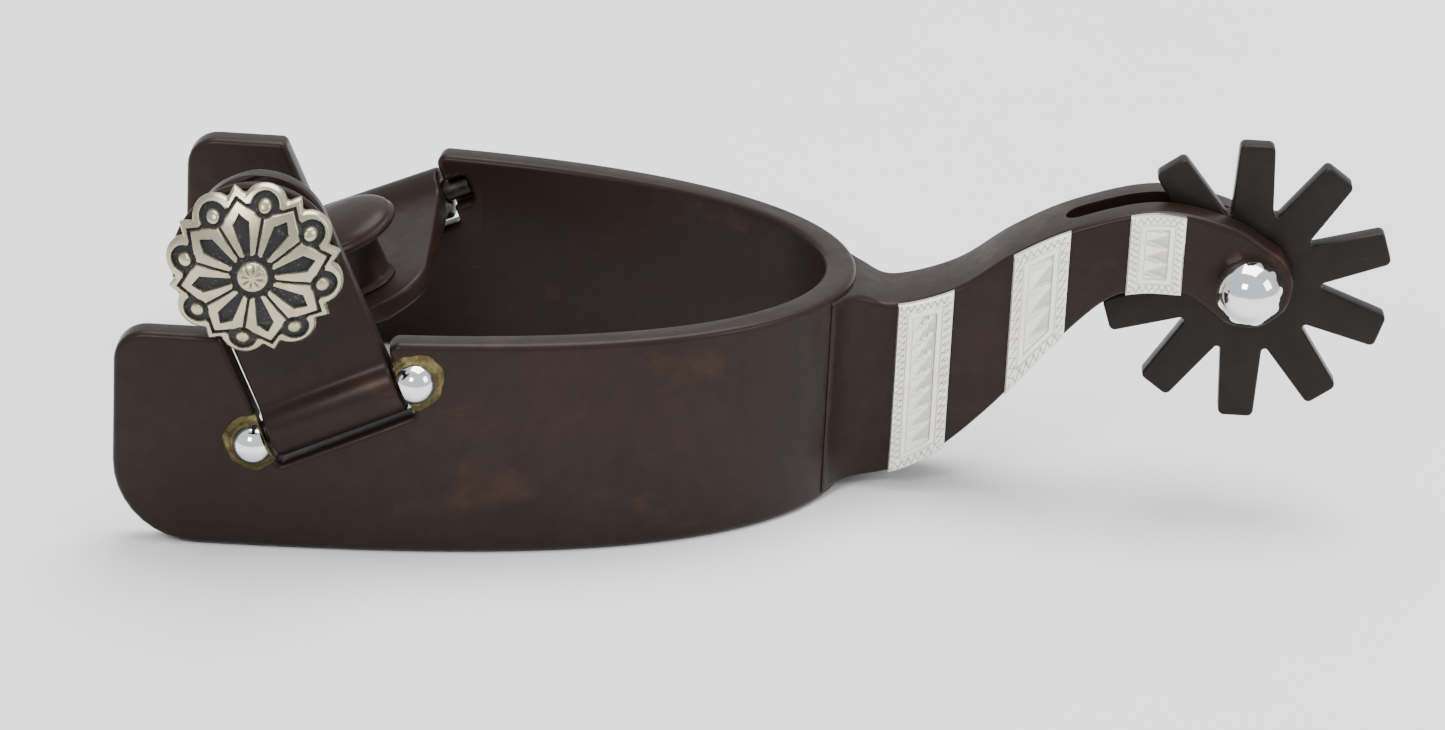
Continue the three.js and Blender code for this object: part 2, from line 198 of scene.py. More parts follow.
def browned_steel(name, dark, warm, edge_wear_and_highlight, roughness, scratch):
    """Steel browned and lacquered: mottled, warm where rubbed, lighter on sharp edges as part wear and part
    painted highlight, with hairline scratches.
    """
    shader = Shader(name, Metallic=0.2, Specular_IOR_Level=0.14, Coat_Weight=0.06, Coat_Roughness=0.2)
    mottle = shader.ramp(shader.noise(38, 6.0, 0.6), 0.42, 0.72)
    fine = shader.ramp(shader.noise(420, 5.0, 0.65), 0.35, 0.75)
    rust = shader.ramp(shader.noise(55, 5.0, 0.7, stretch=(0.6, 0.6, 1.3), distortion=0.6), 0.58, 0.74)
    base = shader.mix(mottle, dark, [c * 1.35 for c in dark[:3]] + [1])
    base = shader.mix(shader.math("MULTIPLY", fine, 0.35), base, [c * 0.55 for c in dark[:3]] + [1])
    base = shader.mix(shader.math("MULTIPLY", rust, 0.7), base, warm)
    # lighter colour on sharp edges: partly rubbed wear, partly a painted highlight
    edge_noise = shader.ramp(shader.noise(260, 4.0), 0.3, 0.62)
    edge = shader.math("MULTIPLY", shader.edges(0.0007), edge_noise)
    base = shader.mix(shader.math("MULTIPLY", edge, 0.4), base, edge_wear_and_highlight)
    marks = shader.scratches(80, 0.76)
    base = shader.mix(shader.math("MULTIPLY", marks, scratch), base, [0.16, 0.12, 0.10, 1])
    shader.set(shader.surface.inputs["Base Color"], base)
    rough = shader.ramp(shader.math("ADD", shader.math("MULTIPLY", mottle, 0.6), fine), 0.0, 1.6,
                        roughness, roughness + 0.16)
    shader.set(shader.surface.inputs["Roughness"], rough)
    relief = shader.math("ADD", shader.noise(900, 4.0, 0.6), shader.math("MULTIPLY", marks, -0.25))
    shader.bump(relief, 0.16, 0.0001)
    return shader.material


def silver(name, bright, tarnish, cut, roughness):
    """Nickel silver, dark where the mesh's own `dark` attribute says that it is cut or antiqued."""
    shader = Shader(name, Metallic=1.0)
    cloud = shader.ramp(shader.noise(210, 5.0, 0.6), 0.4, 0.7)
    base = shader.mix(shader.math("MULTIPLY", cloud, 0.6), bright, tarnish)
    dark = shader.attribute("dark")
    speck = shader.ramp(shader.noise(2400, 3.0), 0.6, 0.75, 1.0, 0.75)
    base = shader.mix(shader.math("MULTIPLY", dark, speck), base, cut)
    marks = shader.scratches(90, 0.64)
    base = shader.mix(shader.math("MULTIPLY", marks, 0.25), base, [c * 0.6 for c in tarnish[:3]] + [1])
    shader.set(shader.surface.inputs["Base Color"], base)
    shader.set(shader.surface.inputs["Metallic"], shader.ramp(dark, 0.0, 1.0, 1.0, 0.2))
    shine = shader.math("ADD", shader.math("MULTIPLY", dark, 0.3), shader.math("MULTIPLY", cloud, 0.08))
    shader.set(shader.surface.inputs["Roughness"], shader.math("ADD", shine, roughness))
    shader.bump(shader.noise(1500, 3.0), 0.12, 0.0001)
    return shader.material


def chrome():
    shader = Shader("chrome", Metallic=1.0)
    haze = shader.ramp(shader.noise(300, 4.0), 0.45, 0.75)
    base = shader.mix(shader.math("MULTIPLY", haze, 0.5), [0.84, 0.84, 0.85, 1], [0.70, 0.69, 0.68, 1])
    marks = shader.scratches(160, 0.66)
    shader.set(shader.surface.inputs["Base Color"], base)
    rough = shader.math("ADD", shader.math("MULTIPLY", marks, 0.12), shader.math("MULTIPLY", haze, 0.05))
    shader.set(shader.surface.inputs["Roughness"], shader.math("ADD", rough, 0.05))
    shader.bump(shader.noise(420, 2.0), 0.04, 0.0002)
    return shader.material


def dull_metal(name, dark, light, roughness, grain):
    shader = Shader(name, Metallic=1.0)
    patch = shader.ramp(shader.noise(grain, 5.0, 0.65), 0.35, 0.7)
    shader.set(shader.surface.inputs["Base Color"], shader.mix(patch, dark, light))
    shader.set(shader.surface.inputs["Roughness"], shader.ramp(patch, 0.0, 1.0, roughness + 0.15, roughness))
    shader.bump(shader.noise(grain * 4, 4.0), 0.35, 0.0002)
    return shader.material


def floor_material():
    shader = Shader("pale_floor", Roughness=0.75)
    shade = shader.ramp(shader.noise(14, 4.0), 0.3, 0.7)
    tint = shader.mix(shade, [0.9, 0.9, 0.9, 1], [0.92, 0.92, 0.92, 1])
    shader.set(shader.surface.inputs["Base Color"], tint)
    return shader.material


MATERIALS = {
    "brown_steel": browned_steel("brown_steel", [0.020, 0.0112, 0.0088, 1], [0.052, 0.024, 0.012, 1],
                                 [0.095, 0.068, 0.052, 1], 0.34, 0.14),
    "rowel_steel": browned_steel("rowel_steel", [0.013, 0.0098, 0.0085, 1], [0.024, 0.015, 0.010, 1],
                                 [0.10, 0.08, 0.065, 1], 0.38, 0.10),
    "german_silver": silver("german_silver", [0.90, 0.88, 0.82, 1], [0.78, 0.74, 0.62, 1],
                            [0.25, 0.24, 0.18, 1], 0.30),
    "concho_silver": silver("concho_silver", [0.52, 0.47, 0.33, 1], [0.34, 0.29, 0.18, 1],
                            [0.006, 0.006, 0.007, 1], 0.27),
    "chrome": chrome(),
    "pin_steel": dull_metal("pin_steel", [0.035, 0.026, 0.021, 1], [0.11, 0.09, 0.075, 1], 0.38, 300),
    "brass_braze": dull_metal("brass_braze", [0.065, 0.052, 0.024, 1], [0.21, 0.175, 0.075, 1], 0.46, 500),
}


# ---- mesh building -----------------------------------------------------------------------

def add_piece(name, mesh, slot, body, replaced=(), smooth_angle=32):
    """Puts a finished mesh in the scene: shaded, with its material, riding on its body."""
    mesh.shade_smooth()
    mesh.set_sharp_from_angle(angle=math.radians(smooth_angle))
    piece = bpy.data.objects.new(name, mesh)
    bpy.context.scene.collection.objects.link(piece)
    piece.data.materials.clear()
    piece.data.materials.append(MATERIALS[slot])
    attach(piece, body)
    if replaced:
        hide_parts(*replaced)
    return piece


def finish_mesh(name, bm):
    bmesh.ops.recalc_face_normals(bm, faces=bm.faces)
    bmesh.ops.scale(bm, vec=(MM, MM, MM), verts=bm.verts)
    mesh = bpy.data.meshes.new(name)
    bm.to_mesh(mesh)
    bm.free()
    return mesh


def rounded_outline(corners, step_angle=12):
    """Closed outline from (a, b, radius) corners, each rounded by a true arc."""
    points = []
    for i, (a, b, radius) in enumerate(corners):
        corner = Vector((a, b))
        before = Vector(corners[i - 1][:2]) - corner
        after = Vector(corners[(i + 1) % len(corners)][:2]) - corner
        if radius <= 0:
            points.append(corner)
            continue
        before.normalize()
        after.normalize()
        half = before.angle(after) / 2
        centre = corner + (before + after).normalized() * (radius / math.sin(half))
        start = corner + before * (radius / math.tan(half)) - centre
        sweep = math.pi - 2 * half
        if before.x * after.y - before.y * after.x > 0:
            sweep = -sweep
        steps = max(2, round(abs(math.degrees(sweep)) / step_angle))
        for k in range(steps + 1):
            points.append(centre + Matrix.Rotation(sweep * k / steps, 2) @ start)
    return points


def bore_loop(radius, steps):
    """A round hole's loop, running clockwise."""
    turns = np.linspace(0, 2 * math.pi, steps, endpoint=False)
    return [radius * Vector((math.cos(t), -math.sin(t))) for t in turns]


def offset_loop(points, distance):
    """The loop moved towards its own left by a distance."""
    moved = []
    for i, point in enumerate(points):
        first = (point - points[i - 1]).normalized()
        second = (points[(i + 1) % len(points)] - point).normalized()
        first_left = Vector((-first.y, first.x))
        mean = (first_left + Vector((-second.y, second.x))).normalized()
        moved.append(point + mean * (distance / max(mean.dot(first_left), 0.4)))
    return moved


def rounded_plate(loops, half, edge, steps=4):
    """A flat plate of half-thickness `half` with rounded edges, as (a, b, n).
    The outer loop runs anticlockwise, holes run clockwise."""
    bm = bmesh.new()
    caps = [[], []]
    for loop in loops:
        rows = []
        for side in (1, -1):
            turns = [k / steps * math.pi / 2 for k in range(steps + 1)]
            for turn in turns if side > 0 else reversed(turns):
                ring = offset_loop(loop, edge * (1 - math.sin(turn)))
                level = side * (half - edge * (1 - math.cos(turn)))
                rows.append([bm.verts.new((p.x, p.y, level)) for p in ring])
        count = len(loop)
        for upper, lower in zip(rows, rows[1:]):
            for i in range(count):
                j = (i + 1) % count
                bm.faces.new((upper[i], upper[j], lower[j], lower[i]))
        for cap, row in zip(caps, (rows[0], rows[-1])):
            cap.extend(bm.edges.get((row[i], row[(i + 1) % count])) for i in range(count))
    for cap in caps:
        bmesh.ops.triangle_fill(bm, use_beauty=True, use_dissolve=False, edges=cap)
    return bm


def slice_along(bm, axis, places):
    """Cuts the mesh across one axis at each place, so that it can bend there."""
    normal = Vector((axis == 0, axis == 1, axis == 2))
    for place in places:
        geometry = bm.verts[:] + bm.edges[:] + bm.faces[:]
        bmesh.ops.bisect_plane(bm, geom=geometry, dist=1e-5, plane_co=normal * place, plane_no=normal)


def reshape(bm, rule):
    for vert in bm.verts:
        vert.co = rule(vert.co)


def merge_flat(bm, degrees):
    bmesh.ops.remove_doubles(bm, verts=bm.verts, dist=1e-4)
    bmesh.ops.dissolve_limit(bm, angle_limit=math.radians(degrees), verts=bm.verts, edges=bm.edges)


def turned(profile, segments=64, flute=None):
    """A solid turned about z from (radius, height) points; flute(angle, height) scales each radius."""
    bm = bmesh.new()
    rings = []
    for radius, height in profile:
        if radius < 1e-6:
            rings.append([bm.verts.new((0, 0, height))])
            continue
        ring = []
        for i in range(segments):
            angle = 2 * math.pi * i / segments
            r = radius * (flute(angle, height) if flute else 1)
            ring.append(bm.verts.new((r * math.cos(angle), r * math.sin(angle), height)))
        rings.append(ring)
    for lower, upper in zip(rings, rings[1:]):
        for i in range(segments):
            j = (i + 1) % segments
            corners = [lower[i % len(lower)], lower[j % len(lower)],
                       upper[j % len(upper)], upper[i % len(upper)]]
            unique = list(dict.fromkeys(corners))
            if len(unique) > 2:
                bm.faces.new(unique)
    for ring in (rings[0], rings[-1]):
        if len(ring) > 1:
            bm.faces.new(ring)
    return bm


def arc(radius, centre, first, last, steps):
    """(radius, height) points of a ball's outline between two angles from its equator."""
    turns = [math.radians(first + (last - first) * k / steps) for k in range(steps + 1)]
    return [(max(radius * math.cos(t), 0.0) if abs(math.cos(t)) > 1e-9 else 0.0,
             centre + radius * math.sin(t)) for t in turns]


def smooth_step(value, low, high):
    t = np.clip((value - low) / (high - low), 0, 1)
    return t * t * (3 - 2 * t)


def grid_mesh(name, points, dark, closed_u=False):
    """A mesh from a grid of points (rows, columns, 3) in mm, with its `dark` attribute."""
    rows, columns = points.shape[:2]
    index = np.arange(rows * columns).reshape(rows, columns)
    if closed_u:
        index = np.concatenate([index, index[:, :1]], axis=1)
    faces = np.stack([index[:-1, :-1], index[:-1, 1:], index[1:, 1:], index[1:, :-1]], axis=-1).reshape(-1, 4)
    mesh = bpy.data.meshes.new(name)
    mesh.from_pydata((points.reshape(-1, 3) * MM).tolist(), [], faces.tolist())
    attribute = mesh.attributes.new("dark", "FLOAT", "POINT")
    attribute.data.foreach_set("value", np.clip(dark, 0, 1).astype(np.float32).ravel())
    bm = bmesh.new()
    bm.from_mesh(mesh)
    bmesh.ops.remove_doubles(bm, verts=bm.verts, dist=1e-7)
    boundary = [edge for edge in bm.edges if edge.is_boundary]
    if boundary:
        bmesh.ops.contextual_create(bm, geom=boundary)
    bmesh.ops.recalc_face_normals(bm, faces=bm.faces)
    bm.to_mesh(mesh)
    bm.free()
    return mesh


# ---- heel band ---------------------------------------------------------------------------

HINGE = Vector(JOINTS["near_hanger_swing"]["pos_m"]) / MM
HINGE_TILT = math.asin(-JOINTS["near_hanger_swing"]["axis"][2])


def band_line(steps=1200):
    """Mid-thickness line of the band: far arm's end, heel, near arm's end, with lengths along it."""
    angles = np.linspace(math.pi / 2, -math.pi / 2, steps + 1)
    x = BAND_DEPTH * (np.clip(np.cos(angles), 0, 1) ** (2 / BAND_ROUNDNESS) - 1)
    y = BAND_HALF_SPREAD * np.sin(angles)
    length = np.concatenate([[0], np.cumsum(np.hypot(np.diff(x), np.diff(y)))])
    return x, y, length - length[-1] / 2


LINE_X, LINE_Y, LINE_S = band_line()


def arm_length_at(x):
    """Length along the near arm, from the heel, at which it reaches x."""
    near = LINE_S >= 0
    return float(np.interp(-x, -LINE_X[near], LINE_S[near]))


def bend_round_heel(point):
    """(length, height, outward) on the flat bar to a place on the bent band."""
    s, z, n = point
    step = 0.4
    here = np.array([np.interp(s, LINE_S, LINE_X), np.interp(s, LINE_S, LINE_Y)])
    low, high = max(s - step, LINE_S[0]), min(s + step, LINE_S[-1])
    along = np.array([np.interp(high, LINE_S, LINE_X) - np.interp(low, LINE_S, LINE_X),
                      np.interp(high, LINE_S, LINE_Y) - np.interp(low, LINE_S, LINE_Y)])
    along /= np.hypot(*along)
    return Vector((here[0] - along[1] * n, here[1] + along[0] * n, z))


def notch_corners():
    """The notch, seen on the near arm, as (x, z, radius) from its rear lip to its front lip."""
    def point(along, up, radius):
        return (HINGE.x + along * math.cos(HINGE_TILT) - up * math.sin(HINGE_TILT),
                HINGE.z + along * math.sin(HINGE_TILT) + up * math.cos(HINGE_TILT), radius)

    def mouth(along, radius):
        up = (BAND_WIDTH - HINGE.z - along * math.sin(HINGE_TILT)) / math.cos(HINGE_TILT)
        return point(along, up, radius)

    rear = [(NOTCH_HALF, POCKET_HALF, 0.5), (POCKET_END, POCKET_HALF, 0.9), (POCKET_END, -POCKET_HALF, 0.9),
            (NOTCH_HALF, -POCKET_HALF, 0.5), (NOTCH_HALF, -NOTCH_BELOW_PIN, 0.8)]
    front = [(-a, b, r) for a, b, r in reversed(rear)]
    return [mouth(NOTCH_HALF, 1.5)] + [point(*p) for p in rear + front] + [mouth(-NOTCH_HALF, 1.2)]


def heel_band():
    notch = [(arm_length_at(x), z, radius) for x, z, radius in notch_corners()]
    end = LINE_S[-1]
    near = notch + [(end, BAND_WIDTH, ARM_TOP_RADIUS), (end, 0, ARM_BOTTOM_RADIUS)]
    far = [(-s, z, radius) for s, z, radius in reversed(near)]
    corners = [(s, z, radius) for s, z, radius in reversed(far + near)]
    outline = rounded_outline(corners, 10)
    # the plate needs its outer loop anticlockwise
    if sum(p.x * q.y - q.x * p.y for p, q in zip(outline, outline[1:] + outline[:1])) < 0:
        outline.reverse()
    bm = rounded_plate([outline], BAND_THICKNESS / 2, BAND_EDGE, 5)
    slice_along(bm, 0, np.arange(-end + 1.0, end, 1.6))
    reshape(bm, bend_round_heel)
    merge_flat(bm, 0.12)
    mesh = finish_mesh("heel_band_bar", bm)
    return add_piece("heel_band_bar", mesh, "brown_steel", "spur_body", ["heel_band"], 40)


# ---- shank -------------------------------------------------------------------------------

def spline(points, per_span=8):
    """Catmull-Rom curve through points."""
    ends = [points[0] * 2 - points[1]] + points + [points[-1] * 2 - points[-2]]
    curve = []
    for a, b, c, d in zip(ends, ends[1:], ends[2:], ends[3:]):
        for k in range(per_span):
            t = k / per_span
            curve.append(0.5 * ((2 * b) + (c - a) * t + (2 * a - 5 * b + 4 * c - d) * t ** 2
                                + (3 * b - a - 3 * c + d) * t ** 3))
    return curve + [points[-1]]


SHANK_TOP = [(-1, 30.9), (3, 30.2), (8, 28.9), (17, 31.9), (25, 37.7), (34, 42.4), (45.5, 45.5), (56, 43.8)]
SHANK_BOTTOM = [(50, 33), (43.5, 32.9), (38.5, 31), (31.2, 23.4), (23, 13.4), (15, 5.7), (8, 2.2), (-1, 0.9)]


def shank_outline():
    axis = Vector((PIN.x, PIN.z + ROWEL_SAG))
    first, last = math.radians(52), math.radians(-132)
    tip = [axis + SHANK_END_RADIUS * Vector((math.cos(t), math.sin(t)))
           for t in np.linspace(first, last, 26)]
    top = spline([Vector(p) for p in SHANK_TOP] + [tip[0]])[:-1]
    bottom = spline([tip[-1]] + [Vector(p) for p in SHANK_BOTTOM])[1:]
    return list(reversed(top + tip + bottom))


def shank_spread(x):
    """Half-thickness of the shank along its length: it flares into the heel band."""
    flare = max(0.0, (SHANK_FLARE_LENGTH - x) / SHANK_FLARE_LENGTH)
    return SHANK_HALF * (1 + SHANK_FLARE * flare ** SHANK_FLARE_POWER)


def shank():
    bm = rounded_plate([shank_outline()], SHANK_HALF, SHANK_EDGE, 5)
    slice_along(bm, 0, list(np.arange(-0.5, 9, 0.5)) + list(np.arange(12, 60, 4)))
    # (x, z, n) with n to the near side
    reshape(bm, lambda p: Vector((p.x, -p.z * shank_spread(p.x) / SHANK_HALF, p.y)))
    merge_flat(bm, 0.1)
    mesh = finish_mesh("shank_forging", bm)
    piece = add_piece("shank_forging", mesh, "brown_steel", "spur_body", ["shank"], 40)
    cut_slot(piece)
    return piece


def cut_slot(piece):
    """The rowel slot, round at its closed end."""
    far = PIN.x + 2 * SHANK_END_RADIUS
    corners = [(SLOT_START, -SLOT_HALF, SLOT_HALF * 0.98), (far, -SLOT_HALF, 0),
               (far, SLOT_HALF, 0), (SLOT_START, SLOT_HALF, SLOT_HALF * 0.98)]
    bm = rounded_plate([rounded_outline(corners)], 40, 0.01, 1)
    cutter_mesh = finish_mesh("slot_cutter", bm)
    cutter = bpy.data.objects.new("slot_cutter", cutter_mesh)
    cutter.location.z = 25 * MM
    bpy.context.scene.collection.objects.link(cutter)
    apply_modifier(piece, "BOOLEAN", operation="DIFFERENCE", object=cutter, solver="EXACT")
    bpy.data.objects.remove(cutter)
    piece.data.shade_smooth()
    piece.data.set_sharp_from_angle(angle=math.radians(40))


def apply_modifier(piece, kind, **settings):
    modifier = piece.modifiers.new(kind.lower(), kind)
    for key, value in settings.items():
        setattr(modifier, key, value)
    bpy.context.view_layer.update()
    evaluated = piece.evaluated_get(bpy.context.evaluated_depsgraph_get())
    mesh = bpy.data.meshes.new_from_object(evaluated)
    piece.modifiers.clear()
    piece.data = mesh


# ---- silver bars -------------------------------------------------------------------------

def triangle_wave(value):
    return np.abs((value % 1.0) * 2 - 1)


def bar_relief(left, right, below, above):
    """Height and darkness of the engraving, from the distances to the bar's four edges."""
    border = np.minimum(np.minimum(left, right), np.minimum(below, above))
    upright = np.minimum(left, right) <= np.minimum(below, above)
    run = np.where(upright, below, left)
    # wriggle cut between the edge and the inner frame
    line = 0.32 + 0.85 * triangle_wave(run / 0.95)
    wriggle = np.exp(-((border - line) / 0.09) ** 2) * (border < 1.35)
    ticks = np.exp(-((border - 1.2) / 0.1) ** 2) * (triangle_wave(run / 0.95) > 0.55)
    frame_cut = np.exp(-((border - 1.5) / 0.07) ** 2) + np.exp(-((border - 2.32) / 0.07) ** 2)
    panel = smooth_step(border, 2.3, 2.42)
    # alternating bright cuts: triangles leaning in from each side of the panel
    across = np.clip((left - 2.4) / np.maximum(left + right - 4.8, 0.1), 0, 1)
    beat = below / 2.35
    lean = triangle_wave(beat)
    facet = np.clip(lean - across, -0.5, 0.5)
    cut = panel * (0.5 + facet)
    ridge = np.exp(-((lean - across) / 0.06) ** 2) * panel
    edge = smooth_step(border, 0.0, 0.22)
    height = 0.62 + 0.18 * edge - 0.13 * wriggle - 0.08 * ticks - 0.10 * frame_cut
    height = height - panel * 0.30 + 0.26 * cut + 0.05 * ridge
    dark = 0.55 * wriggle + 0.3 * ticks + 0.45 * frame_cut + 0.4 * panel * (facet < -0.22)
    return height, dark


def silver_bar(place):
    """An engraved plate that follows the shank's top and bottom edges between two uprights."""
    low, high = (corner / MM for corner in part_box(f"silver_bar_{place}"))
    top = np.array([tuple(p) for p in spline([Vector(p) for p in SHANK_TOP])])
    bottom = np.array([tuple(p) for p in spline([Vector(p) for p in SHANK_BOTTOM])])[::-1]
    columns = round((high.x - low.x) / 0.07)
    x = np.linspace(low.x, high.x, columns + 1)
    z_top = np.interp(x, top[:, 0], top[:, 1]) - 0.12
    z_bottom = np.interp(x, bottom[:, 0], bottom[:, 1]) + 0.12
    rows = round(float((z_top - z_bottom).mean()) / 0.08)
    t = np.linspace(0, 1, rows + 1)[:, None]
    z = z_bottom + (z_top - z_bottom) * t
    xx = np.broadcast_to(x, z.shape)
    slope_top = np.cos(np.arctan(np.gradient(z_top, x)))
    slope_bottom = np.cos(np.arctan(np.gradient(z_bottom, x)))
    height, dark = bar_relief(xx - low.x, high.x - xx, (z - z_bottom) * slope_bottom, (z_top - z) * slope_top)
    face = np.stack([xx, -(SHANK_HALF + height), z], axis=-1)
    skirt = face.copy()
    skirt[..., 1] = -(SHANK_HALF - 0.2)
    points = pad_grid(face, skirt)
    name = f"silver_bar_{place}_plate"
    mesh = grid_mesh(name, points, np.pad(dark, 1))
    return add_piece(name, mesh, "german_silver", "spur_body", [f"silver_bar_{place}"], 50)


def pad_grid(face, skirt):
    """The face with a ring of skirt points round it."""
    rows, columns = face.shape[:2]
    row_index = np.clip(np.arange(-1, rows + 1), 0, rows - 1)
    column_index = np.clip(np.arange(-1, columns + 1), 0, columns - 1)
    points = skirt[row_index][:, column_index].copy()
    points[1:-1, 1:-1] = face
    return points


# ---- rowel and its pin ---------------------------------------------------------------------

def rowel():
    step = 2 * math.pi / ROWEL_TEETH
    half = ROWEL_TIP_WIDTH / 2
    corners = []
    for tooth in range(ROWEL_TEETH):
        turn = Matrix.Rotation(math.pi / 2 + tooth * step, 2)
        root = Matrix.Rotation(math.pi / 2 + (tooth - 0.5) * step, 2) @ Vector((ROWEL_ROOT_RADIUS, 0))
        corners.append((root.x, root.y, 0.5))
        for aside in (-half, half):
            tip = turn @ Vector((ROWEL_RADIUS, aside))
            corners.append((tip.x, tip.y, 0.9))
    bore = bore_loop(ROWEL_BORE_RADIUS, 48)
    bm = rounded_plate([rounded_outline(corners, 18), bore], ROWEL_THICKNESS / 2, 0.45, 3)
    reshape(bm, lambda p: Vector((p.x, -p.z, p.y)) + PIN)
    mesh = finish_mesh("rowel_star", bm)
    return add_piece("rowel_star", mesh, "rowel_steel", "rowel", ["rowel"], 40)


def crimped(angle, height):
    """Twelve shallow flutes round the foot of the ball head."""
    foot = 1 - smooth_step(np.array(abs(height) - SHANK_HALF), 0.2, 2.6)
    return 1 - 0.055 * float(foot) * abs(math.cos(6 * angle)) ** 0.6


def rowel_pin():
    axis = PIN + Vector((0, 0, ROWEL_SAG))
    lowest = math.degrees(math.asin((SHANK_HALF - 0.1 - PIN_HEAD_CENTRE) / PIN_HEAD_RADIUS))
    head = arc(PIN_HEAD_RADIUS, PIN_HEAD_CENTRE, lowest, 90, 28)
    near = turned([(2.5, -SHANK_HALF), (2.5, SHANK_HALF - 0.1)] + head, 96, crimped)
    bmesh.ops.rotate(near, verts=near.verts, cent=(0, 0, 0), matrix=Matrix.Rotation(math.pi / 2, 3, "X"))
    bmesh.ops.translate(near, verts=near.verts, vec=axis)
    add_piece("rowel_pin_ball", finish_mesh("rowel_pin_ball", near), "chrome", "spur_body", ["rowel_pin"], 60)
    far = turned(head, 96, crimped)
    bmesh.ops.rotate(far, verts=far.verts, cent=(0, 0, 0), matrix=Matrix.Rotation(-math.pi / 2, 3, "X"))
    bmesh.ops.translate(far, verts=far.verts, vec=axis)
    add_piece("rowel_pin_far_ball", finish_mesh("rowel_pin_far_ball", far), "chrome", "spur_body",
              ["rowel_pin_cap"], 60)


# ---- hangers -----------------------------------------------------------------------------

def hinge_frame(side, lean=0.0):
    """Axes of a hinge: x along the pin, y up the arm (or along the strap, leant inward), z outward."""
    joint = JOINTS["near_hanger_swing" if side < 0 else "far_hanger_swing"]
    along = -Vector(joint["axis"]).normalized()
    out = Vector((-along.y, along.x, 0)).normalized()
    if out.y * side < 0:
        out.negate()
    up = out.cross(along)
    matrix = Matrix((along, up, out)).transposed().to_4x4()
    matrix.translation = Vector(joint["pos_m"]) / MM
    return matrix @ Matrix.Rotation(-lean, 4, "X")


def rest_lean(label, side):
    """How far the strap leans inward at rest, from where its CAD button post stands."""
    node = frame["nodes"][f"{label}_button_post"]
    centre = sum((v.co for v in node.data.vertices), Vector()) / len(node.data.vertices) / MM
    local = hinge_frame(side).inverted() @ centre
    post_middle = (STRAP_THICKNESS / 2 + DISC_BACK) / 2
    return math.atan2(-local.z, local.y) + math.atan2(post_middle, BUTTON_REACH)


def place(bm, matrix):
    bmesh.ops.transform(bm, matrix=matrix, verts=bm.verts)


def strap_profile():
    """The folded strip from the side, (y, z): a roll round the pin, then two layers pressed flat."""
    half = STRAP_THICKNESS / 2
    meet = math.asin((half + 0.75) / ROLL_RADIUS)
    roll = [ROLL_RADIUS * Vector((math.cos(t), math.sin(t))) for t in np.linspace(meet, 2 * math.pi - meet, 44)]
    lip = roll[-1]
    crease = [Vector((lip.x + 0.55, -half - 0.28)), Vector((lip.x + 1.3, -half - 0.06)),
              Vector((lip.x + 2.2, -half))]
    end = BUTTON_REACH + STRAP_HALF_WIDTH
    tip = rounded_outline([(end, -half, 0.8), (end, half, 0.8), (end - 4, 0, 0)], 18)[:-1]
    upper = [Vector((p.x, -p.y)) for p in reversed(crease)]
    return roll + crease + tip + upper


def hanger_strap(label, side, frame_matrix, body):
    bore = bore_loop(ROLL_BORE_RADIUS, 32)
    bm = rounded_plate([strap_profile(), bore], STRAP_HALF_WIDTH, 0.6, 4)
    round_part = BUTTON_REACH + STRAP_HALF_WIDTH * np.sin(np.linspace(0, math.pi / 2, 26)[:-1])
    slice_along(bm, 0, [8, 14, 20] + list(round_part))

    def rule(point):
        past = max(0.0, min(point.x - BUTTON_REACH, STRAP_HALF_WIDTH)) / STRAP_HALF_WIDTH
        shrink = math.sqrt(max(1 - past ** 2, 0.0))
        return Vector((point.z * shrink, point.x, point.y))

    reshape(bm, rule)
    bmesh.ops.remove_doubles(bm, verts=bm.verts, dist=1e-3)
    bmesh.ops.dissolve_degenerate(bm, dist=1e-3, edges=bm.edges)
    place(bm, frame_matrix)
    name = f"{label}_strap_folded"
    add_piece(name, finish_mesh(name, bm), "brown_steel", body, [f"{label}_hanger_strap"], 40)


def button_post(label, frame_matrix, body):
    foot = STRAP_THICKNESS / 2
    profile = [(POST_RADIUS + 0.5, foot - 0.2), (POST_RADIUS + 0.42, foot + 0.12),
               (POST_RADIUS + 0.1, foot + 0.45), (POST_RADIUS, foot + 0.9), (POST_RADIUS, DISC_BACK - 0.7),
               (POST_RADIUS + 0.15, DISC_BACK - 0.3), (POST_RADIUS + 0.5, DISC_BACK + 0.1)]
    bm = turned(profile, 72)
    place(bm, frame_matrix @ Matrix.Translation((0, BUTTON_REACH, 0)))
    name = f"{label}_button_stem"
    add_piece(name, finish_mesh(name, bm), "brown_steel", body, [f"{label}_button_post"], 40)


def button_disc(label, radius, rise, edge, frame_matrix, body):
    """A domed disc with a rounded rim."""
    rim = [(radius - edge / 2 + edge / 2 * math.cos(t), DISC_BACK + edge / 2 + edge / 2 * math.sin(t))
           for t in np.linspace(-math.pi / 2, math.pi / 3, 9)]
    start_r, start_h = rim[-1]
    dome = [(start_r * math.cos(t), start_h + rise * math.sin(t))
            for t in np.linspace(0.12, math.pi / 2, 20)[:-1]]
    profile = [(0, DISC_BACK), (radius - edge, DISC_BACK)] + rim + dome + [(0, start_h + rise)]
    bm = turned(profile, 96)
    place(bm, frame_matrix @ Matrix.Translation((0, BUTTON_REACH, 0)))
    name = f"{label}_button_cap"
    add_piece(name, finish_mesh(name, bm), "brown_steel", body, [f"{label}_button_disc"], 40)


